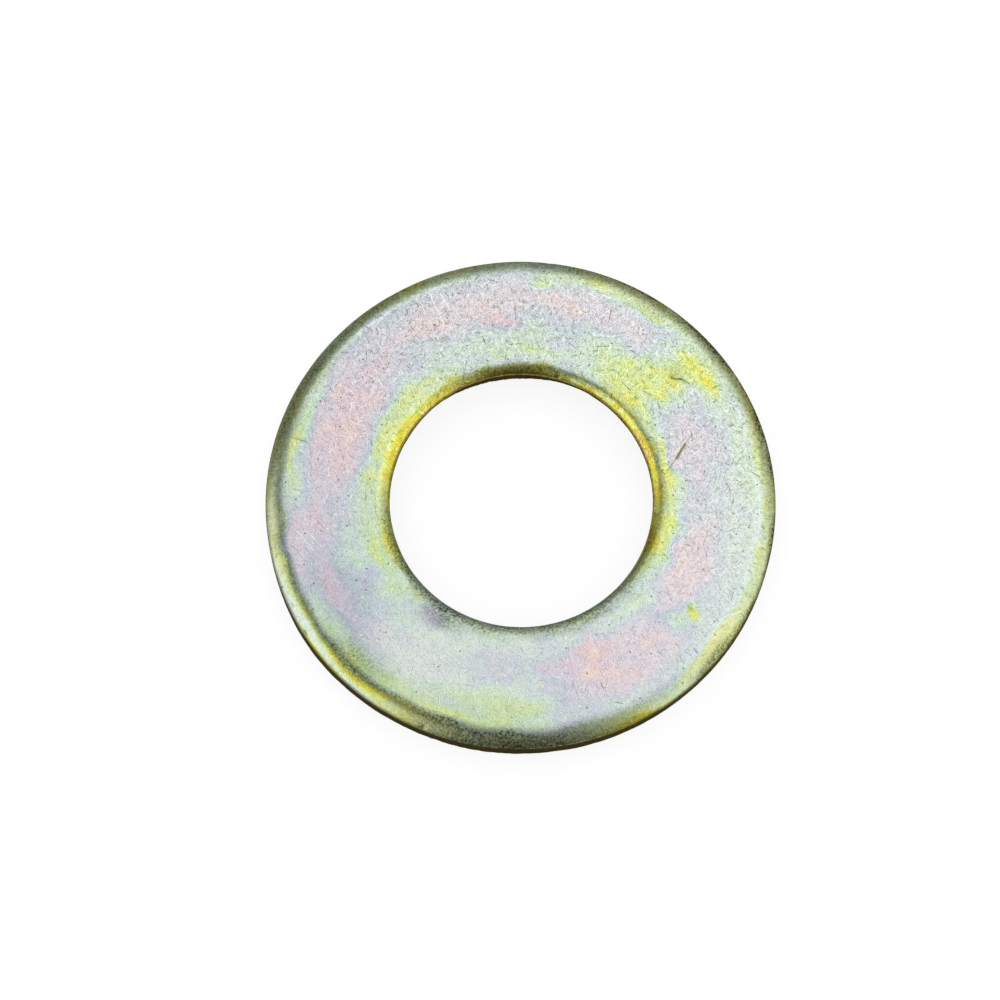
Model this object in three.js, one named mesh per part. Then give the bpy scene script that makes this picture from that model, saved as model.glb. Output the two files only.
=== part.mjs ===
// Flat washer for an M10 bolt: one ring stamped from 2 mm steel strip in a compound die, then
// zinc plated and yellow passivated. Millimetres, +Z up. The burr side lies on Z = 0, the
// rolled side faces +Z, and the bore's axis is the Z axis.

import * as THREE from 'three';

// Driving dimensions
const OUTSIDE_DIAMETER = 20.5;
const BORE_DIAMETER = 10.55;
const THICKNESS = 2.0;

// A stamped edge has three bands. From the rolled side down they are the die roll, where the
// face bends over, the straight burnished land, and the fracture zone, which leans into the
// metal and ends in a worn burr. The punch left a narrower roll and a longer fracture zone in
// the bore than the die left outside.
const OUTER_EDGE = {
  radius: OUTSIDE_DIAMETER / 2,
  intoMetal: -1,
  rollWidth: 0.425 * THICKNESS,
  rollHeight: 0.21 * THICKNESS,
  fractureHeight: 0.42 * THICKNESS,
  fractureLean: 0.07 * THICKNESS,
};
const BORE_EDGE = {
  radius: BORE_DIAMETER / 2,
  intoMetal: 1,
  rollWidth: 0.26 * THICKNESS,
  rollHeight: 0.135 * THICKNESS,
  fractureHeight: 0.76 * THICKNESS,
  fractureLean: 0.2 * THICKNESS,
};
const EDGE_BREAK = 0.04 * THICKNESS;

// Fineness of the round stretches
const SEGMENTS_AROUND = 96;
const ROLL_STEPS = 8;

const plating = new THREE.MeshStandardMaterial({
  color: 0xc9c8a8,
  roughness: 0.36,
  metalness: 0.95,
});

// The outline of one cut edge, from Z = 0 up to the rolled face. The die roll is a parabola
// that lies flat where it meets the face.
function stampedEdge({ radius, intoMetal, rollWidth, rollHeight, fractureHeight, fractureLean }) {
  const burrRadius = radius + intoMetal * fractureLean;
  const outline = [
    new THREE.Vector2(burrRadius + intoMetal * EDGE_BREAK, 0),
    new THREE.Vector2(burrRadius, EDGE_BREAK),
    new THREE.Vector2(radius, fractureHeight),
  ];
  for (let step = 0; step <= ROLL_STEPS; step += 1) {
    const across = step / ROLL_STEPS;
    const below = rollHeight * (1 - across) ** 2;
    outline.push(new THREE.Vector2(radius + intoMetal * rollWidth * across, THICKNESS - below));
  }
  return outline;
}

// The ring's section runs up the outer edge, in over the rolled face, down the bore and back
// out along the burr side, so that the turned faces point outwards.
function makeWasher() {
  const outerEdge = stampedEdge(OUTER_EDGE);
  const boreEdge = stampedEdge(BORE_EDGE).reverse();
  const section = [...outerEdge, ...boreEdge, outerEdge[0].clone()];
  const geometry = new THREE.LatheGeometry(section, SEGMENTS_AROUND);
  geometry.rotateX(Math.PI / 2);
  const washer = new THREE.Mesh(geometry, plating);
  washer.name = 'washer';
  return washer;
}

const flatWasher = new THREE.Group();
flatWasher.add(makeWasher());

export default flatWasher;
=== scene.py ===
"""The looks of a yellow zinc flat washer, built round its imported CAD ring. Metres, +Z up.

The ring is remade as one fine mesh that holds the marks of stamping and tumbling, and one
node material gives the iridescent passivation film. Sizes on the washer are written in
millimetres and turned into metres in one place, where the mesh is made.
"""

import math

import bpy
import numpy as np
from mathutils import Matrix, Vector


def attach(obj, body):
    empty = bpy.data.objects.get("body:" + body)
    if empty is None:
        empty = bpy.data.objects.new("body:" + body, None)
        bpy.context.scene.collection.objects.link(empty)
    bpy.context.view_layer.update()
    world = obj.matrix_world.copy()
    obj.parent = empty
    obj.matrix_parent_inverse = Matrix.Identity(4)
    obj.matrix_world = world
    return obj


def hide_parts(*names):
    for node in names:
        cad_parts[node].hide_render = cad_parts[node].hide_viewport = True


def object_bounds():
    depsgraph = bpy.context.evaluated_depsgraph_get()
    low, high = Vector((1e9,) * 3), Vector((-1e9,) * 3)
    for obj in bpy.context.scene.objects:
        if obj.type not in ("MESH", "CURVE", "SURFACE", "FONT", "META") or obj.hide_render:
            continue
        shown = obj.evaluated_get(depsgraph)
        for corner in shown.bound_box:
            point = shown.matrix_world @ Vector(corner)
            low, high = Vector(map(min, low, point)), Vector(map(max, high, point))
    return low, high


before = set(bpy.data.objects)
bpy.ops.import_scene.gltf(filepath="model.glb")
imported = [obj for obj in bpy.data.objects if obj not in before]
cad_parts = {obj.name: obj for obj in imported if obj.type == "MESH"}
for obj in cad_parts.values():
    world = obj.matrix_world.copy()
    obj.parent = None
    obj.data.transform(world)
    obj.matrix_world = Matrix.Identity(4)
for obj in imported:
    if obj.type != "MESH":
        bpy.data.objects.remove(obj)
cad_low, cad_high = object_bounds()

MM = 0.001

# The ring's driving sizes, in millimetres. The outside and the thickness are the CAD box's,
# and the rest of the section is worked out from them as it is on the CAD ring.
OUTSIDE_RADIUS = (cad_high.x - cad_low.x) / 2 / MM
THICKNESS = (cad_high.z - cad_low.z) / MM
CAD_BORE_DIAMETER = 10.55
CAD_OUTSIDE_DIAMETER = 20.5
BORE_RADIUS = OUTSIDE_RADIUS * CAD_BORE_DIAMETER / CAD_OUTSIDE_DIAMETER
# The corner at the burr, and the round where the die roll meets the land
EDGE_BREAK = 0.04 * THICKNESS
CORNER_RADIUS = 0.04 * THICKNESS
OUTER_EDGE = {
    "radius": OUTSIDE_RADIUS,
    "into_metal": -1,
    "roll_width": 0.425 * THICKNESS,
    "roll_height": 0.21 * THICKNESS,
    "fracture_height": 0.42 * THICKNESS,
    "fracture_lean": 0.07 * THICKNESS,
    "roll_steps": 14,
}
BORE_EDGE = {
    "radius": BORE_RADIUS,
    "into_metal": 1,
    "roll_width": 0.26 * THICKNESS,
    "roll_height": 0.135 * THICKNESS,
    "fracture_height": 0.76 * THICKNESS,
    "fracture_lean": 0.20 * THICKNESS,
    "roll_steps": 10,
}

# The wall share, which tells the bands of an edge apart. It is 0 on the rest of the ring.
ROLL_START = 0.6
LAND = 1.0
BURR_CORNER = 1.5
FRACTURE = 2.0

# The punch went in a little off centre, to the right and front. The face takes up the shift
# between the bore and this radius.
BORE_OFFSET = (0.03, -0.015)
OFFSET_ENDS = 8.0

# The burr stands out along one stretch of the outer edge: its azimuth and reach in degrees, how
# far the burr is pushed, and where on the face the push starts and how soon it is whole
FLARE_AZIMUTH = 217
FLARE_REACH = 13
FLARE_PUSH = 0.11
FLARE_STARTS = 9.3
FLARE_RAMP = 0.6

# What every random draw on the ring starts from
RANDOM_SEED = 27

# How finely the ring is divided
STEPS_AROUND = 840
BREAK_STEPS = 2
FRACTURE_STEPS = 6
LAND_STEPS = 5
FACE_STEPS = 58
UNDER_STEPS = 8

# Patches of film on the rolled side, laid one over another: azimuth in degrees, radius in
# millimetres, how far each reaches round and across, then the film it has (0 thin to 1 thick,
# see FILM_COLOURS) and how much white zinc shows through.
FILM_PATCHES = [
    # the lip of the bore
    (25, 5.45, 44, 0.30, 0.92, 0.0),
    (90, 5.48, 40, 0.27, 0.80, 0.0),
    (152, 5.48, 40, 0.38, 0.89, 0.0),
    (206, 5.55, 22, 0.35, 0.80, 0.0),
    (280, 5.55, 50, 0.40, 0.62, 0.3),
    (346, 5.60, 18, 0.40, 0.86, 0.0),
    # just outside the lip
    (14, 6.05, 17, 0.36, 0.85, 0.0),
    (349, 6.10, 17, 0.42, 0.77, 0.0),
    (46, 6.10, 16, 0.42, 0.80, 0.0),
    (88, 6.32, 22, 0.30, 0.66, 0.2),
    (150, 6.08, 36, 0.34, 0.72, 0.15),
    (207, 6.20, 20, 0.50, 0.67, 0.1),
    (235, 6.10, 8, 0.35, 0.28, 0.0),
    (276, 6.30, 28, 0.50, 0.50, 0.6),
    (316, 6.15, 14, 0.45, 0.58, 0.4),
    # inner half of the face
    (14, 7.20, 15, 0.75, 0.22, 0.35),
    (94, 7.00, 20, 0.50, 0.53, 0.3),
    (97, 7.40, 5, 0.30, 0.14, 0.1),
    (158, 7.40, 24, 0.80, 0.12, 0.15),
    (210, 7.30, 15, 0.80, 0.52, 0.05),
    (240, 7.10, 12, 0.65, 0.54, 0.8),
    (266, 7.30, 16, 0.80, 0.38, 0.45),
    (283, 7.40, 6, 1.00, 0.23, 0.1),
    (307, 7.60, 8, 1.00, 0.16, 0.35),
    (295, 7.30, 7, 0.95, 0.02, 0.0),
    (337, 7.40, 18, 0.85, 0.14, 0.4),
    # outer half of the face
    (53, 8.20, 10, 0.80, 0.20, 0.5),
    (74, 8.30, 13, 0.65, 0.19, 0.4),
    (110, 8.30, 22, 0.65, 0.14, 0.4),
    (156, 8.30, 26, 0.55, 0.11, 0.15),
    (190, 8.30, 10, 0.80, 0.18, 0.1),
    (209, 8.20, 13, 1.10, 0.30, 0.0),
    (241, 8.00, 10, 0.85, 0.40, 1.2),
    (264, 8.75, 21, 0.72, 0.62, 0.25),
    (302, 8.50, 15, 0.65, 0.15, 0.3),
    (352, 8.90, 21, 0.70, 0.46, 0.75),
    # towards the rim
    (14, 9.10, 14, 0.45, 0.57, 0.5),
    (84, 9.20, 6, 0.40, 0.63, 0.2),
    (140, 9.00, 10, 0.40, 0.27, 0.2),
    (160, 9.10, 9, 0.40, 0.57, 0.0),
    (170, 9.35, 9, 0.32, 0.76, 0.1),
    (196, 9.20, 12, 0.40, 0.17, 0.2),
    (226, 9.25, 17, 0.52, 0.67, 0.0),
    (262, 9.35, 18, 0.26, 0.70, 0.15),
    (305, 9.30, 14, 0.40, 0.45, 0.5),
    # yellow spoke and drop
    (52, 6.80, 11, 0.70, 0.74, 0.0),
    (42, 7.60, 9, 1.50, 0.75, 0.0),
    (36, 8.85, 9, 0.70, 0.79, 0.0),
    (320, 7.90, 3, 0.90, 0.50, 0.1),
    (326, 8.45, 2.6, 0.50, 0.76, 0.0),
    # the rim
    (5, 9.75, 14, 0.22, 0.75, 0.2),
    (66, 9.60, 24, 0.25, 0.72, 0.2),
    (183, 9.95, 20, 0.30, 0.72, 0.5),
    (228, 9.84, 24, 0.16, 0.80, 0.0),
    (214, 10.10, 26, 0.15, 0.60, 0.8),
    (325, 9.98, 26, 0.30, 0.76, 0.45),
    (268, 9.98, 20, 0.30, 0.78, 0.55),
]

# Places painted dark and made rougher: mostly painted shade and dark reflections on the bore lip,
# and a few small darker spots on the face. Azimuth, radius, reach round and across, strength
SHADE_AND_SPOT_PATCHES = [
    (90, 5.52, 30, 0.24, 0.60),
    (214, 5.46, 38, 0.28, 0.62),
    (238, 5.95, 10, 0.40, 0.45),
    (290, 5.52, 56, 0.38, 0.62),
    (20, 5.75, 34, 0.14, 0.30),
    (226, 9.15, 9, 0.50, 0.42),
    (211, 8.30, 13, 1.00, 0.13),
    (262, 9.00, 24, 0.60, 0.08),
    (92, 7.30, 14, 0.60, 0.06),
    (41, 8.15, 2.6, 0.34, 0.30),
    (326, 8.25, 1.4, 0.22, 0.35),
]

# Painted shade along the outer edge, where the rim mirrors dark surroundings: strength, width, the
# power by which each fades inwards, then the azimuth and reach of the stretch it covers
PAINTED_SHADE_BANDS = [
    (0.62, 0.95, 1.2, 88, 86),
    (0.80, 0.70, 0.7, 268, 22),
    (0.70, 0.16, 1.0, 0, 60),
]

# A dark line part of the way down the die roll, a painted dark reflection: strength, distance from
# the outer edge, width, then the azimuth and reach of its stretch
PAINTED_DARK_LINE = (0.52, 0.56, 0.20, 230, 54)

# The bright yellow film on the lip of the bore: its thickness, width, azimuth and reach
LIP = (0.94, 0.22, 78, 112)

# The film where no patch lies: its thickness and paleness on the face, and what the rim adds to
# them over its width
FACE_FILM = 0.42
FACE_PALE = 0.40
RIM_FILM = 0.36
RIM_PALE = -0.30
RIM_WIDTH = 0.7

# The film on the underside, and how far the underside is darkened
UNDER_FILM = 0.45
UNDER_PALE = 0.3
UNDER_DARKENING = 0.1

# The depth of the gentle waves on the rolled side
WAVINESS = 0.0016

# Scratches on the rolled face: both ends and width in millimetres, then how dark the scratch
# is. Below 0 it is bright.
SCRATCHES = [
    ((5.87, 1.25), (6.23, 1.75), 0.090, 0.6),
    ((6.23, 1.75), (6.56, 2.36), 0.150, 0.9),
    ((6.56, 2.36), (6.85, 2.80), 0.060, 0.5),
    ((6.02, 5.16), (6.42, 5.10), 0.130, 0.8),
    ((6.42, 5.10), (6.74, 4.96), 0.090, 0.7),
    ((3.55, 5.50), (3.80, 5.40), 0.045, 0.6),
    ((3.80, 5.40), (3.95, 5.15), 0.045, 0.6),
    ((4.01, 4.94), (4.37, 4.55), 0.045, 0.7),
    ((4.82, 4.64), (5.18, 4.38), 0.045, 0.6),
    ((9.28, 1.21), (9.58, 1.04), 0.045, 0.7),
    ((8.27, 0.70), (8.42, 0.32), 0.045, 0.5),
    ((8.65, 0.74), (8.80, 0.64), 0.040, 0.5),
    ((8.80, 0.64), (8.97, 0.78), 0.040, 0.5),
    ((-3.85, 8.60), (-3.25, 7.26), 0.050, -0.8),
    ((-3.45, 8.65), (-3.05, 7.95), 0.045, -0.7),
    ((-4.25, 8.25), (-4.00, 7.70), 0.045, -0.6),
    ((-9.35, 2.37), (-8.65, 2.15), 0.045, 0.7),
    ((3.30, -7.60), (3.42, -7.86), 0.045, 0.8),
    ((3.85, -8.35), (4.15, -8.40), 0.045, 0.8),
    ((6.95, -6.10), (7.12, -6.34), 0.045, 0.7),
    ((-8.90, -1.60), (-8.20, -2.40), 0.050, -0.6),
    ((-8.60, -1.55), (-7.90, -2.20), 0.045, -0.5),
]

# Dents and knocks: azimuth, radius, height, reach and depth. RANDOM_KNOCKS more are scattered.
RANDOM_KNOCKS = 40
KNOCKS = [
    (38.7, 8.10, 2.00, 0.14, 0.030),
    (214, 10.20, 1.60, 0.08, 0.070),
    (197, 9.90, 1.85, 0.28, 0.045),
    (186, 5.34, 1.72, 0.08, 0.060),
    (312, 10.00, 1.82, 0.07, 0.040),
    (319, 10.12, 1.70, 0.10, 0.040),
    (249, 10.15, 1.66, 0.09, 0.040),
]


# ---------------------------------------------------------------- shapes

def smooth_noise(rng, rows, columns, row_sigma, column_sigma):
    """Random numbers on a grid that wraps both ways, blurred by sigmas in cells, with mean 0
    and spread 1."""
    spectrum = np.fft.fft2(rng.standard_normal((rows, columns)))
    row_wave = np.fft.fftfreq(rows)[:, None] * row_sigma
    column_wave = np.fft.fftfreq(columns)[None, :] * column_sigma
    blur = np.exp(-2 * math.pi**2 * (row_wave**2 + column_wave**2))
    field = np.fft.ifft2(spectrum * blur).real
    return (field - field.mean()) / field.std()


def around_noise(rng, sigma_degrees):
    """The same along one circle, one number for each step round the ring."""
    sigma = sigma_degrees / 360 * STEPS_AROUND
    return smooth_noise(rng, 1, STEPS_AROUND, 0, sigma)[0]


def eased(count):
    """count numbers from 0 to just under 1 that crowd towards both ends."""
    return (1 - np.cos(np.linspace(0, math.pi, count, endpoint=False))) / 2


def sector(azimuth, middle, reach):
    """1 over a stretch of the ring's circle and 0 outside it, with soft ends."""
    turn = np.abs((azimuth - middle + 180) % 360 - 180)
    return 1 / (1 + np.exp((turn - reach) / 6))


def edge_outline(
    rng, radius, into_metal, roll_width, roll_height, fracture_height, fracture_lean, roll_steps
):
    """Radius, height and wall share of one stamped edge, from the underside up to the rolled
    face, as grids of outline points by steps round the ring."""
    width = roll_width * (1 + 0.06 * around_noise(rng, 22))
    drop = roll_height * (1 + 0.05 * around_noise(rng, 30))
    tear_line = 0.02 * around_noise(rng, 9) + 0.01 * around_noise(rng, 1.5)
    tear = fracture_height + THICKNESS * tear_line
    lean = fracture_lean * (1 + 0.12 * around_noise(rng, 14))
    broken = EDGE_BREAK * (1 + 0.2 * around_noise(rng, 3))
    inset = 0.005 * np.abs(around_noise(rng, 25)) + 0.002 * np.abs(around_noise(rng, 4))
    edge = radius + into_metal * inset
    land_top = THICKNESS - drop - CORNER_RADIUS
    rows = []
    for t in np.linspace(0, math.pi / 2, BREAK_STEPS, endpoint=False):
        across = lean + broken * (1 - np.sin(t))
        rows.append((edge + into_metal * across, broken * (1 - np.cos(t)), BURR_CORNER))
    for t in eased(FRACTURE_STEPS):
        height = broken + (tear - broken) * t
        rows.append((edge + into_metal * lean * (1 - t), height, FRACTURE))
    for t in eased(LAND_STEPS):
        rows.append((edge, tear + (land_top - tear) * t, LAND))
    for t in np.linspace(0, 1, roll_steps + 1) ** 1.5:
        corner = np.maximum(0, 1 - t * width / CORNER_RADIUS)
        sunk = CORNER_RADIUS * (1 - np.sqrt(1 - corner**2))
        height = THICKNESS - drop * (1 - t) ** 2 - sunk
        wall = ROLL_START if t == 0 else 0.0
        rows.append((edge + into_metal * width * t, height, wall))
    radii = np.array([row[0] for row in rows])
    heights = np.array([row[1] for row in rows])
    walls = np.array([np.full(STEPS_AROUND, row[2]) for row in rows])
    return radii, heights, walls


def between(start, end, steps):
    """Rows of points strictly between two rows."""
    shares = np.linspace(0, 1, steps + 1)[1:-1, None]
    return start[None] + (end - start)[None] * shares


def section_grid(rng):
    """Radius, height and wall share of the whole section, from the outer edge in over the
    rolled face, down the bore and back along the underside."""
    outer = edge_outline(rng, **OUTER_EDGE)
    bore = [grid[::-1] for grid in edge_outline(rng, **BORE_EDGE)]
    loops = []
    for out, inn in zip(outer, bore):
        face = between(out[-1], inn[0], FACE_STEPS)
        under = between(inn[-1], out[0], UNDER_STEPS)
        loops.append(np.concatenate([out, face, inn, under]))
    # The underside is no wall, though the corners on both sides of it are
    walls = loops[2]
    walls[-(UNDER_STEPS - 1):] = 0
    return loops


def ring_normals(points):
    """Unit normals of a grid of points that wraps both ways."""
    along = np.roll(points, -1, axis=1) - np.roll(points, 1, axis=1)
    across = np.roll(points, -1, axis=0) - np.roll(points, 1, axis=0)
    normals = np.cross(along, across)
    return normals / np.linalg.norm(normals, axis=-1, keepdims=True)


def random_knocks(rng):
    """Small knocks along both rims of the rolled side."""
    land, roll, lip = OUTSIDE_RADIUS - 0.03, OUTSIDE_RADIUS - 0.3, BORE_RADIUS + 0.04
    made = []
    for _ in range(RANDOM_KNOCKS):
        radius = rng.choice([land, roll, lip])
        height = THICKNESS - (0.4 if radius == land else 0.2)
        azimuth = rng.uniform(0, 360)
        reach = rng.uniform(0.05, 0.12)
        deep = rng.uniform(0.006, 0.02)
        made.append((azimuth, radius, height, reach, deep))
    return made


def polar(points):
    """Radius, and azimuth in degrees from 0 to 360, of each point."""
    radius = np.hypot(points[..., 0], points[..., 1])
    azimuth = np.degrees(np.arctan2(points[..., 1], points[..., 0])) % 360
    return radius, azimuth


def flare_burr(points):
    """Pushes the burr outwards along one stretch of the outer edge, most at the underside."""
    radius, azimuth = polar(points)
    low = np.clip(1.15 - points[..., 2] / THICKNESS, 0, 1)
    outer = np.clip((radius - FLARE_STARTS) / FLARE_RAMP, 0, 1)
    push = FLARE_PUSH * low * outer * sector(azimuth, FLARE_AZIMUTH, FLARE_REACH)
    flared = points.copy()
    flared[..., :2] *= 1 + (push / radius)[..., None]
    return flared


def dent_ring(rng, points):
    """Sinks dents, knocks and slight waviness into the ring."""
    normals = ring_normals(points)
    upward = np.clip(normals[..., 2], 0, 1) ** 2
    depth = np.zeros(points.shape[:2])
    for azimuth, radius, height, reach, deep in KNOCKS + random_knocks(rng):
        turn = math.radians(azimuth)
        centre = np.array([radius * math.cos(turn), radius * math.sin(turn), height])
        distance = np.linalg.norm(points - centre, axis=-1)
        depth += deep * np.exp(-(distance / reach) ** 2)
    rows, columns = depth.shape
    broad = smooth_noise(rng, rows, columns, 7, 14)
    waves = broad + 0.4 * smooth_noise(rng, rows, columns, 3, 5)
    depth += WAVINESS * (waves - waves.min()) * upward
    return points - normals * depth[..., None]


def roughen_walls(rng, points, walls):
    """Tears the fracture zone and draws fine lines down the burnished land."""
    rows, columns = walls.shape
    torn = np.abs(smooth_noise(rng, rows, columns, 0.7, 0.9)) * 0.012 * (walls > LAND)
    torn += np.abs(smooth_noise(rng, rows, columns, 0.7, 4)) * 0.014 * (walls > LAND)
    drawn = np.abs(smooth_noise(rng, 1, columns, 0, 0.8)) * 0.003 * (walls == LAND)
    normals = ring_normals(points)
    normals[..., 2] = 0
    return points - normals * (torn + drawn)[..., None]


def patch_weight(azimuth, radius, at, middle, reach_round, reach_across):
    """1 in the middle of a patch and 0 outside it, with a soft edge."""
    turn = (azimuth - at + 180) % 360 - 180
    distance = (turn / reach_round) ** 2 + ((radius - middle) / reach_across) ** 2
    return np.exp(-(distance**1.35))


def shade_and_spot_grid(azimuth, ragged_azimuth, ragged_radius):
    """The painted shade and dark spots on the rolled side, from the patches, the painted dark line
    and the painted shade bands: mostly shade and dark reflections along the rims and the bore lip.
    """
    shade_and_spots = np.zeros_like(azimuth)
    for at, middle, reach_round, reach_across, strength in SHADE_AND_SPOT_PATCHES:
        weight = patch_weight(
            ragged_azimuth, ragged_radius, at, middle, reach_round, reach_across
        )
        shade_and_spots += strength * weight
    depth = OUTSIDE_RADIUS - ragged_radius
    # The painted dark reflection down the die roll
    strength, line_depth, width, at, reach = PAINTED_DARK_LINE
    dark_line = np.exp(-((depth - line_depth) / width) ** 2)
    shade_and_spots += strength * dark_line * sector(azimuth, at, reach)
    # Painted shade along the outer edge
    for strength, width, power, at, reach in PAINTED_SHADE_BANDS:
        band = strength * np.clip(1 - depth / width, 0, 1) ** power
        shade_and_spots += band * sector(azimuth, at, reach)
    return shade_and_spots


def film_grids(rng, points, normals):
    """Film thickness from 0 to 1, paleness, and the painted shade and dark spots at each point of
    the ring.
    """
    rows, columns = points.shape[:2]
    radius, azimuth = polar(points)
    raggedness = 0.10 * np.clip((radius - 5.3) / 0.9, 0.3, 1)
    ragged_radius = radius + raggedness * smooth_noise(rng, rows, columns, 3, 6)
    ragged_azimuth = azimuth + 1.6 * smooth_noise(rng, rows, columns, 3, 7)
    rim = np.clip(1 - (OUTSIDE_RADIUS - ragged_radius) / RIM_WIDTH, 0, 1) ** 0.5
    film = FACE_FILM + RIM_FILM * rim + 0.05 * smooth_noise(rng, rows, columns, 8, 18)
    pale = FACE_PALE + RIM_PALE * rim + 0.12 * smooth_noise(rng, rows, columns, 5, 12)
    for at, middle, reach_round, reach_across, patch_film, patch_pale in FILM_PATCHES:
        weight = patch_weight(
            ragged_azimuth, ragged_radius, at, middle, reach_round, reach_across
        )
        film += weight * (patch_film - film)
        pale += weight * (patch_pale - pale)
    lip_film, lip_width, lip_at, lip_reach = LIP
    near_bore = np.clip(1 - (radius - BORE_RADIUS) / lip_width, 0, 1)
    lip = near_bore**0.7 * sector(azimuth, lip_at, lip_reach)
    film += lip * (lip_film - film)
    pale -= lip * pale
    film += 0.035 * smooth_noise(rng, rows, columns, 3, 6)
    # Painted shade and dark reflections, with a few dark spots on the face
    shade_and_spots = shade_and_spot_grid(azimuth, ragged_azimuth, ragged_radius)
    under = normals[..., 2] < -0.5
    under_film = UNDER_FILM + 0.10 * smooth_noise(rng, rows, columns, 4, 16)
    film = np.where(under, under_film, film)
    pale = np.where(under, UNDER_PALE, pale)
    shade_and_spots = np.where(under, UNDER_DARKENING, shade_and_spots)
    return np.clip(film, 0, 1), np.clip(pale, 0, 1), np.clip(shade_and_spots, 0, 1)


def make_mesh(name, points, attributes):
    """A mesh from a grid of points that wraps both ways, with its faces outwards."""
    rows, columns = points.shape[:2]
    index = np.arange(rows * columns).reshape(rows, columns)
    beside = np.roll(index, -1, axis=1)
    next_row = [np.roll(beside, -1, axis=0), np.roll(index, -1, axis=0)]
    faces = np.stack([index, beside, *next_row], axis=-1).reshape(-1, 4)
    places = points.reshape(-1, 3) * MM
    mesh = bpy.data.meshes.new(name)
    mesh.from_pydata(places.tolist(), [], faces.tolist())
    for key, values in attributes.items():
        layer = mesh.attributes.new(key, "FLOAT", "POINT")
        layer.data.foreach_set("value", values.astype(np.float32).ravel())
    mesh.shade_smooth()
    piece = bpy.data.objects.new(name, mesh)
    bpy.context.scene.collection.objects.link(piece)
    return piece


def make_ring():
    """The ring: its section turned round, then shifted, flared, dented, torn and coloured."""
    rng = np.random.default_rng(RANDOM_SEED)
    radii, heights, walls = section_grid(rng)
    turn = np.linspace(0, 2 * math.pi, STEPS_AROUND, endpoint=False)[None, :]
    points = np.stack([radii * np.cos(turn), radii * np.sin(turn), heights], axis=-1)
    share = np.clip((OFFSET_ENDS - radii) / (OFFSET_ENDS - BORE_RADIUS), 0, 1)
    points[..., 0] += BORE_OFFSET[0] * share
    points[..., 1] += BORE_OFFSET[1] * share
    points = flare_burr(points)
    points = dent_ring(rng, points)
    points = roughen_walls(rng, points, walls)
    points[..., 2] = np.clip(points[..., 2], 0, THICKNESS)
    film, pale, shade_and_spots = film_grids(rng, points, ring_normals(points))
    values = {"film": film, "pale": pale, "shade_and_spots": shade_and_spots}
    values["wall"] = np.clip(walls, 0, 1)
    values["torn"] = np.clip(walls - LAND, 0, 1)
    ring = make_mesh("washer_ring", points, values)
    ring.data.materials.append(plating_material())
    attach(ring, "root")
    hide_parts("washer")


# ---------------------------------------------------------------- materials

def srgb(red, green, blue):
    """A colour given in 0 to 255 display values, as the linear colour that nodes take."""
    def linear(value):
        share = value / 255
        return share / 12.92 if share <= 0.04045 else ((share + 0.055) / 1.055) ** 2.4
    return (linear(red), linear(green), linear(blue), 1.0)


class Tree:
    """Adds nodes to one material or world and joins them."""

    def __init__(self, owner):
        owner.use_nodes = True
        self.tree = owner.node_tree
        self.shader = self.tree.nodes.get("Principled BSDF") or self.tree.nodes["Background"]

    def plug(self, socket, value):
        if isinstance(value, bpy.types.NodeSocket):
            self.tree.links.new(value, socket)
        else:
            socket.default_value = value

    def add(self, kind, inputs, **settings):
        node = self.tree.nodes.new("ShaderNode" + kind)
        for key, value in settings.items():
            setattr(node, key, value)
        for socket, value in inputs.items():
            self.plug(node.inputs[socket], value)
        return node

    def math(self, operation, first, second=0.0, clamp=False):
        node = self.add("Math", {0: first, 1: second}, operation=operation, use_clamp=clamp)
        return node.outputs[0]

    def vector(self, operation, first, second):
        return self.add("VectorMath", {0: first, 1: second}, operation=operation).outputs["Vector"]

    def dot(self, first, second):
        node = self.add("VectorMath", {0: first, 1: second}, operation="DOT_PRODUCT")
        return node.outputs["Value"]

    def spread(self, value, low, high, to_low=0.0, to_high=1.0):
        """value eased from low..high to to_low..to_high."""
        inputs = {
            "Value": value,
            "From Min": low,
            "From Max": high,
            "To Min": to_low,
            "To Max": to_high,
        }
        return self.add("MapRange", inputs, interpolation_type="SMOOTHSTEP").outputs["Result"]

    def mix(self, factor, first, second, blend="MIX"):
        node = self.add("Mix", {0: factor, 6: first, 7: second}, data_type="RGBA", blend_type=blend)
        return node.outputs[2]

    def attribute(self, name):
        return self.add("Attribute", {}, attribute_name=name).outputs["Fac"]

    def noise(self, place, scale, detail=2.0, roughness=0.5):
        inputs = {"Vector": place, "Scale": scale, "Detail": detail, "Roughness": roughness}
        return self.add("TexNoise", inputs).outputs["Fac"]

    def ramp(self, value, stops):
        node = self.add("ValToRGB", {"Fac": value})
        points = node.color_ramp.elements
        for at, colour in stops[1:-1]:
            points.new(at).color = colour
        points[0].position, points[0].color = stops[0]
        points[len(stops) - 1].position, points[len(stops) - 1].color = stops[-1]
        return node.outputs["Color"]


# The colours that the passivation film takes as it gets thicker
FILM_COLOURS = [
    (0.00, srgb(232, 212, 188)),
    (0.13, srgb(217, 191, 200)),
    (0.26, srgb(204, 194, 209)),
    (0.38, srgb(182, 190, 206)),
    (0.51, srgb(193, 214, 200)),
    (0.64, srgb(193, 217, 167)),
    (0.76, srgb(213, 224, 124)),
    (0.87, srgb(224, 217, 42)),
    (0.94, srgb(224, 192, 64)),
    (1.00, srgb(160, 142, 56)),
]
WHITE_ZINC = srgb(218, 223, 217)
BRIGHT_STROKE = srgb(246, 248, 240)
DARK_STROKE = srgb(112, 118, 88)
YELLOW_FLECK = srgb(238, 235, 188)
DARK_FLECK = srgb(110, 112, 84)
DARK_SCRATCH = srgb(112, 112, 40)
BRIGHT_SCRATCH = srgb(250, 250, 244)
# The dark olive that paints shade and dark reflections on the rims and the bore lip, and a few dark
# spots on the face
SHADE_AND_SPOT_COLOUR = srgb(66, 70, 44)
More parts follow.
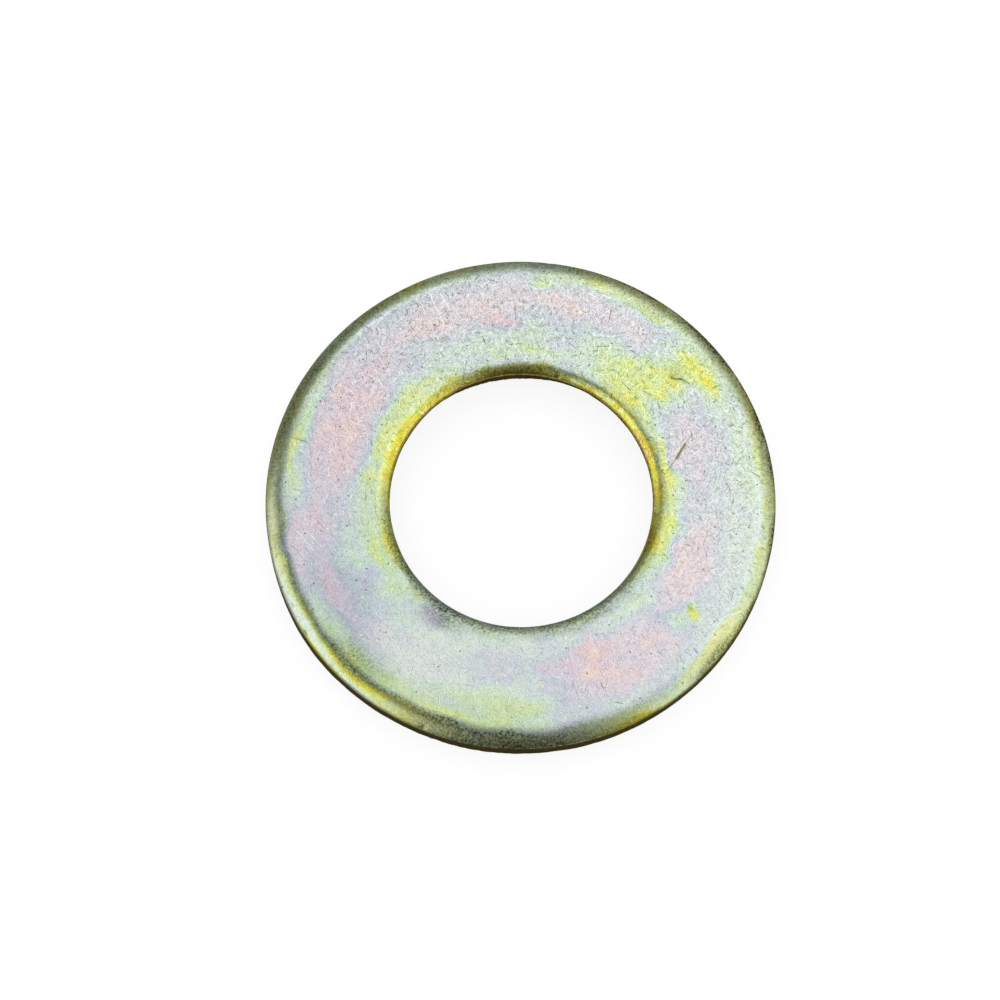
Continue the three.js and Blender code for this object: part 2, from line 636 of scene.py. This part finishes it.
# The cut walls' olive film, darkened with painted shade
SHADED_WALL_COLOURS = [
    (0.30, srgb(72, 60, 34)),
    (0.52, srgb(94, 80, 48)),
    (0.72, srgb(122, 108, 66)),
]
# The torn wall, darker still with painted shade
SHADED_TORN_WALL = srgb(48, 42, 26)

# Fine strokes: in how many directions, and the length and width of their noise
BRUSH_DIRECTIONS = 6
BRUSH_LENGTH = 0.30
BRUSH_WIDTH = 0.048

# Single strokes: the size of the cells that hold one each, their length and width, and a shift
# that keeps the sets apart
STROKES = [
    (0.26, 0.24, 0.050, 3.0),
    (0.34, 0.30, 0.055, 11.0),
    (0.55, 0.50, 0.060, 23.0),
    (1.3, 0.9, 0.060, 41.0),
]


def millimetres(tree):
    """The place on the object, in millimetres."""
    place = tree.add("TexCoord", {}).outputs["Object"]
    return tree.add("VectorMath", {0: place, "Scale": 1 / MM}, operation="SCALE").outputs["Vector"]


def bent(tree, place, scale, reach):
    """The same place moved a little to and fro, so that straight marks curve."""
    colour = tree.add("TexNoise", {"Vector": place, "Scale": scale, "Detail": 1.0}).outputs["Color"]
    centred = tree.vector("SUBTRACT", colour, (0.5, 0.5, 0.5))
    moved = tree.add("VectorMath", {0: centred, "Scale": reach}, operation="SCALE").outputs["Vector"]
    return tree.vector("ADD", place, moved)


def stroke_noise(tree, place, angle, length, width):
    """Noise drawn out into marks of one direction."""
    inputs = {
        "Vector": place,
        "Location": (angle * 7.3, angle * 3.1, 0.0),
        "Rotation": (0.0, 0.0, angle),
        "Scale": (length, width, 1.0),
    }
    turned = tree.add("Mapping", inputs, vector_type="TEXTURE").outputs["Vector"]
    return tree.noise(turned, 1.0, detail=0.0)


def brushed_noise(tree, place):
    """Fine crossing strokes from tumbling, as noise round 0."""
    curved = bent(tree, place, 1.6, 0.5)
    dark, bright = 0.0, 0.0
    for step in range(BRUSH_DIRECTIONS):
        angle = math.radians(step * 180 / BRUSH_DIRECTIONS + 8)
        value = stroke_noise(tree, curved, angle, BRUSH_LENGTH, BRUSH_WIDTH)
        dark = tree.math("MAXIMUM", dark, tree.spread(value, 0.58, 0.76))
        bright = tree.math("MAXIMUM", bright, tree.spread(value, 0.42, 0.24))
    return tree.math("SUBTRACT", bright, dark)


def scattered_strokes(tree, place, cell, length, width, offset):
    """One short stroke in each cell of the face, in a random direction: from -1 dark to 1
    bright."""
    moved = tree.vector("ADD", place, (offset, offset * 0.7, 0.0))
    inputs = {"Vector": moved, "Scale": 1 / cell, "Randomness": 1.0}
    cells = tree.add("TexVoronoi", inputs, voronoi_dimensions="2D")
    red, green = tree.add("SeparateColor", {"Color": cells.outputs["Color"]}).outputs[:2]
    angle = tree.math("MULTIPLY", red, 2 * math.pi)
    cosine, sine = tree.math("COSINE", angle), tree.math("SINE", angle)
    away = tree.vector("SUBTRACT", moved, cells.outputs["Position"])
    along_axis = tree.add("CombineXYZ", {"X": cosine, "Y": sine}).outputs["Vector"]
    minus_sine = tree.math("MULTIPLY", sine, -1.0)
    across_axis = tree.add("CombineXYZ", {"X": minus_sine, "Y": cosine}).outputs["Vector"]
    along = tree.math("ABSOLUTE", tree.dot(away, along_axis))
    across = tree.math("ABSOLUTE", tree.dot(away, across_axis))
    ends = tree.spread(along, length / 2, length / 4)
    line = tree.spread(across, width / 2, width / 6)
    strength = tree.math("SUBTRACT", tree.math("MULTIPLY", green, 2.0), 1.0)
    return tree.math("MULTIPLY", tree.math("MULTIPLY", ends, line), strength)


def flecks(tree, place, cell, size, share, offset):
    """Tiny spots on the face, in a share of the cells."""
    moved = tree.vector("ADD", place, (offset, 0.0, 0.0))
    inputs = {"Vector": moved, "Scale": 1 / cell, "Randomness": 1.0}
    cells = tree.add("TexVoronoi", inputs, voronoi_dimensions="2D")
    red = tree.add("SeparateColor", {"Color": cells.outputs["Color"]}).outputs[0]
    spot = tree.spread(cells.outputs["Distance"], size / cell, size / cell / 3)
    return tree.math("MULTIPLY", spot, tree.math("LESS_THAN", red, share))


def scratch(tree, place, start, end, width):
    """1 on a straight line between two points of the face and 0 away from it."""
    start, run = Vector((*start, 0)), Vector((end[0] - start[0], end[1] - start[1], 0))
    away = tree.vector("SUBTRACT", place, start)
    share = tree.math("MULTIPLY", tree.dot(away, run / run.length_squared), 1.0, clamp=True)
    nearest = tree.add("VectorMath", {0: run, "Scale": share}, operation="SCALE").outputs["Vector"]
    distance = tree.add("VectorMath", {0: away, 1: nearest}, operation="DISTANCE").outputs["Value"]
    return tree.spread(distance, width / 2, width / 8)


def named_scratches(tree, place):
    """All SCRATCHES together, on the rolled side only: how dark, and how bright."""
    height = tree.add("SeparateXYZ", {"Vector": place}).outputs["Z"]
    above = tree.spread(height, 0.5 * THICKNESS, 0.7 * THICKNESS)
    flat = tree.vector("MULTIPLY", bent(tree, place, 2.0, 0.09), (1, 1, 0))
    dark, bright = 0.0, 0.0
    for start, end, width, darkness in SCRATCHES:
        line = tree.math("MULTIPLY", scratch(tree, flat, start, end, width), abs(darkness))
        if darkness > 0:
            dark = tree.math("MAXIMUM", dark, line)
        else:
            bright = tree.math("MAXIMUM", bright, line)
    return tree.math("MULTIPLY", dark, above), tree.math("MULTIPLY", bright, above)


def tumbling_marks(tree, place):
    """The marks of tumbling, from -1 dark to 1 bright."""
    marks = tree.math("MULTIPLY", brushed_noise(tree, place), 0.6)
    for cell, length, width, offset in STROKES:
        strokes = scattered_strokes(tree, place, cell, length, width, offset)
        marks = tree.math("ADD", marks, strokes)
    return marks


def film_colour(tree, place):
    """The film's own colour, mottled at two scales, with white zinc showing through."""
    mottle = tree.math("SUBTRACT", tree.noise(place, 2.2, detail=3.0, roughness=0.6), 0.5)
    grain = tree.math("SUBTRACT", tree.noise(place, 9.0, detail=2.0), 0.5)
    film = tree.math("ADD", tree.attribute("film"), tree.math("MULTIPLY", mottle, 0.21))
    film = tree.math("ADD", film, tree.math("MULTIPLY", grain, 0.12), clamp=True)
    pale = tree.math("MULTIPLY", tree.attribute("pale"), 0.80, clamp=True)
    return tree.mix(pale, tree.ramp(film, FILM_COLOURS), WHITE_ZINC)


def marked_colour(tree, place, colour, marks):
    """The colour lightened and darkened by strokes and flecks. Strokes show most at the back."""
    stroke_strength = tree.spread(tree.dot(place, (0.35, 0.94, 0.0)), -8.0, 8.0, 0.50, 1.25)
    bright = tree.math("MULTIPLY", tree.math("MAXIMUM", marks, 0.0), stroke_strength)
    dark = tree.math("MAXIMUM", tree.math("MULTIPLY", marks, -1.0), 0.0)
    dark = tree.math("MULTIPLY", dark, stroke_strength)
    colour = tree.mix(tree.math("MULTIPLY", bright, 0.50, clamp=True), colour, BRIGHT_STROKE)
    colour = tree.mix(tree.math("MULTIPLY", dark, 0.60, clamp=True), colour, DARK_STROKE)
    colour = tree.mix(flecks(tree, place, 0.30, 0.055, 0.05, 5.0), colour, YELLOW_FLECK)
    return tree.mix(flecks(tree, place, 0.42, 0.050, 0.06, 17.0), colour, DARK_FLECK)


def shaded_and_spotted_colour(tree, place, colour, shade_and_spots):
    """The colour darkened where shade and dark spots are painted, broken up into dark specks."""
    specks = tree.spread(tree.noise(place, 11.0, detail=3.0, roughness=0.7), 0.38, 0.64)
    strength = tree.math("ADD", tree.math("MULTIPLY", specks, 0.95), 0.40)
    return tree.mix(tree.math("MULTIPLY", shade_and_spots, strength, clamp=True), colour, SHADE_AND_SPOT_COLOUR)


def gloss_level(tree, place, shade_and_spots, wall, torn):
    """The roughness, which rises where shade and dark spots are painted and on the cut walls."""
    cloud = tree.math("MULTIPLY", tree.noise(place, 5.0, detail=3.0), 0.10)
    gloss = tree.math("ADD", 0.21, cloud)
    gloss = tree.math("ADD", gloss, tree.math("MULTIPLY", shade_and_spots, 0.15))
    gloss = tree.math("ADD", gloss, tree.math("MULTIPLY", wall, 0.12))
    return tree.math("ADD", gloss, tree.math("MULTIPLY", torn, 0.16), clamp=True)


def fine_relief(tree, place, marks, cut, torn_mottle):
    """The normal, bent by strokes, scratches, grain and the torn wall."""
    relief = tree.math("SUBTRACT", marks, tree.math("MULTIPLY", cut, 3.0))
    grain = tree.math("MULTIPLY", tree.noise(place, 14.0, detail=3.0), 1.2)
    relief = tree.math("ADD", relief, grain)
    relief = tree.math("ADD", relief, tree.math("MULTIPLY", torn_mottle, 14.0))
    inputs = {"Height": relief, "Strength": 1.0, "Distance": 0.0020 * MM}
    return tree.add("Bump", inputs).outputs["Normal"]


def plating_material():
    """Zinc under its yellow passivation film, with a thick olive film on the cut walls that is
    painted darker as shade, and darker still with painted shade where the metal tore."""
    material = bpy.data.materials.new("yellow_zinc")
    tree = Tree(material)
    place = millimetres(tree)
    wall, torn, shade_and_spots = tree.attribute("wall"), tree.attribute("torn"), tree.attribute("shade_and_spots")
    marks = tumbling_marks(tree, place)
    cut, bare = named_scratches(tree, place)

    colour = film_colour(tree, place)
    colour = marked_colour(tree, place, colour, marks)
    colour = tree.mix(cut, colour, DARK_SCRATCH)
    colour = tree.mix(bare, colour, BRIGHT_SCRATCH)
    # Painted shade and dark reflections on the rims and the bore lip, with a few dark spots on the
    # face
    colour = shaded_and_spotted_colour(tree, place, colour, shade_and_spots)
    wall_mottle = tree.noise(place, 3.5, detail=4.0, roughness=0.65)
    # The walls' olive film with painted shade, darker where the metal tore
    shaded_wall_colour = tree.ramp(wall_mottle, SHADED_WALL_COLOURS)
    shaded_wall_colour = tree.mix(tree.math("MULTIPLY", torn, 0.45), shaded_wall_colour, SHADED_TORN_WALL)
    colour = tree.mix(wall, colour, shaded_wall_colour)

    torn_mottle = tree.math("MULTIPLY", wall_mottle, torn)
    tree.plug(tree.shader.inputs["Base Color"], colour)
    tree.plug(tree.shader.inputs["Roughness"], gloss_level(tree, place, shade_and_spots, wall, torn))
    tree.plug(tree.shader.inputs["Normal"], fine_relief(tree, place, marks, cut, torn_mottle))
    tree.shader.inputs["Metallic"].default_value = 1.0
    tree.shader.inputs["Specular Tint"].default_value = (0.74, 0.66, 0.46, 1)
    return material


def floor_material():
    """White card that glows a little, so that shadows on it stay pale."""
    material = bpy.data.materials.new("white_card")
    tree = Tree(material)
    tree.shader.inputs["Base Color"].default_value = (0.18, 0.18, 0.18, 1)
    tree.shader.inputs["Roughness"].default_value = 0.9
    tree.shader.inputs["Specular IOR Level"].default_value = 0.0
    tree.shader.inputs["Emission Color"].default_value = (1, 1, 1, 1)
    tree.shader.inputs["Emission Strength"].default_value = 0.86
    return material


# ---------------------------------------------------------------- studio

CAMERA_LENS = 129
SENSOR_WIDTH = 36
CAMERA_ELEVATION = math.radians(73)
CAMERA_DISTANCE = 14 * OUTSIDE_RADIUS * MM
# How far the washer's centre stands from the picture's, right and up, as shares of its width
OFF_CENTRE = (0.0206, 0.0033)
LAMP_DIRECTION = (-0.3, 0.6, 0.75)
LAMP_DISTANCE = 0.3
LAMP_SIZE = 0.05
LAMP_POWER = 0.02
FLOOR_HALF_WIDTH = 0.6
FLOOR_GAP = 0.01 * MM
# The mirrored sheet's left and front, which are turned a little from the washer's
SHEET_LEFT = (-0.88, -0.475, 0.0)
SHEET_FRONT = (0.475, -0.88, 0.0)


def make_floor():
    """A white card a hair below the washer, so that the two don't share a plane."""
    half = FLOOR_HALF_WIDTH
    mesh = bpy.data.meshes.new("floor")
    corners = [(-half, -half, 0), (half, -half, 0), (half, half, 0), (-half, half, 0)]
    mesh.from_pydata(corners, [], [(0, 1, 2, 3)])
    floor = bpy.data.objects.new("floor", mesh)
    bpy.context.scene.collection.objects.link(floor)
    floor.data.materials.append(floor_material())
    floor.location.z = -FLOOR_GAP
    floor.visible_glossy = False


def mirrored_studio(tree):
    """What the metal mirrors: a broad sheet of light overhead that fades to the left, to the
    front and down to the horizon, one lamp on each side, and a table that darkens downwards.
    Each spread says where one soft edge starts and ends."""
    direction = tree.add("TexCoord", {}).outputs["Generated"]
    across, back, height = tree.add("SeparateXYZ", {"Vector": direction}).outputs
    leftward = tree.dot(direction, SHEET_LEFT)
    frontward = tree.dot(direction, SHEET_FRONT)

    sheet = tree.spread(leftward, -0.28, 0.50, 1.24, 0.26)
    sheet = tree.math("MULTIPLY", sheet, tree.spread(height, -0.05, 0.85, 0.24, 1.0))
    sheet = tree.math("MULTIPLY", sheet, tree.spread(back, -0.85, 0.15, 0.14, 1.0))
    sheet = tree.math("MULTIPLY", sheet, tree.spread(across, -0.12, 0.12, 0.96, 1.08))

    left = tree.spread(leftward, 0.53, 0.63, 0.0, 1.25)
    left = tree.math("MULTIPLY", left, tree.spread(frontward, -0.80, -0.64))
    left = tree.math("MULTIPLY", left, tree.spread(frontward, 0.66, 0.44))
    left = tree.math("MULTIPLY", left, tree.spread(height, -0.10, 0.15))

    right = tree.spread(across, 0.35, 0.55, 0.0, 1.10)
    right = tree.math("MULTIPLY", right, tree.spread(back, 0.42, 0.28))
    right = tree.math("MULTIPLY", right, tree.spread(back, -0.95, -0.66))
    right = tree.math("MULTIPLY", right, tree.spread(height, -0.10, 0.15))

    table = tree.spread(height, -0.35, -0.62, 0.50, 0.21)
    table = tree.math("MULTIPLY", table, tree.spread(height, 0.02, -0.14))
    lamps = tree.math("MAXIMUM", left, right)
    return tree.math("MAXIMUM", tree.math("MAXIMUM", sheet, lamps), table)


def make_world():
    """A white room round the floor, and another studio that only the metal mirrors."""
    world = bpy.data.worlds.new("studio")
    bpy.context.scene.world = world
    tree = Tree(world)
    glossy = tree.add("LightPath", {}).outputs["Is Glossy Ray"]
    inputs = {0: glossy, 2: 1.0, 3: mirrored_studio(tree)}
    level = tree.add("Mix", inputs, data_type="FLOAT").outputs[0]
    tree.plug(tree.shader.inputs["Strength"], level)
    tree.shader.inputs["Color"].default_value = (1, 1, 1, 1)
    world.cycles.sampling_method = "NONE"


def make_lamp():
    """A weak lamp high at the back left, for glints."""
    lamp = bpy.data.lights.new("glint", "AREA")
    lamp.shape = "DISK"
    lamp.size = LAMP_SIZE
    lamp.energy = LAMP_POWER
    holder = bpy.data.objects.new("glint", lamp)
    bpy.context.scene.collection.objects.link(holder)
    towards = Vector(LAMP_DIRECTION).normalized()
    holder.location = towards * LAMP_DISTANCE
    holder.rotation_mode = "QUATERNION"
    holder.rotation_quaternion = towards.to_track_quat("Z", "Y")
    holder.visible_camera = False


def make_camera():
    """A long lens from the front and high up, aimed so that the washer stands off centre."""
    camera = bpy.data.objects.new("camera", bpy.data.cameras.new("camera"))
    bpy.context.scene.collection.objects.link(camera)
    bpy.context.scene.camera = camera
    camera.data.sensor_width = SENSOR_WIDTH
    camera.data.lens = CAMERA_LENS
    camera.data.clip_start = 0.002
    camera.data.clip_end = 10
    away = Vector((0, -math.cos(CAMERA_ELEVATION), math.sin(CAMERA_ELEVATION)))
    top_centre = Vector((0, 0, THICKNESS * MM))
    camera.location = top_centre + away * CAMERA_DISTANCE
    right = Vector((1, 0, 0))
    up = away.cross(right)
    view_width = CAMERA_DISTANCE * SENSOR_WIDTH / CAMERA_LENS
    aim = top_centre - (right * OFF_CENTRE[0] + up * OFF_CENTRE[1]) * view_width
    camera.rotation_mode = "QUATERNION"
    camera.rotation_quaternion = (camera.location - aim).to_track_quat("Z", "Y")


def main():
    """Builds the picture: camera, ring, floor, world and lamp, and sets the view transform."""
    make_camera()
    make_ring()
    make_floor()
    make_world()
    make_lamp()
    settings = bpy.context.scene.view_settings
    settings.view_transform = "Standard"
    settings.look = "None"


main()
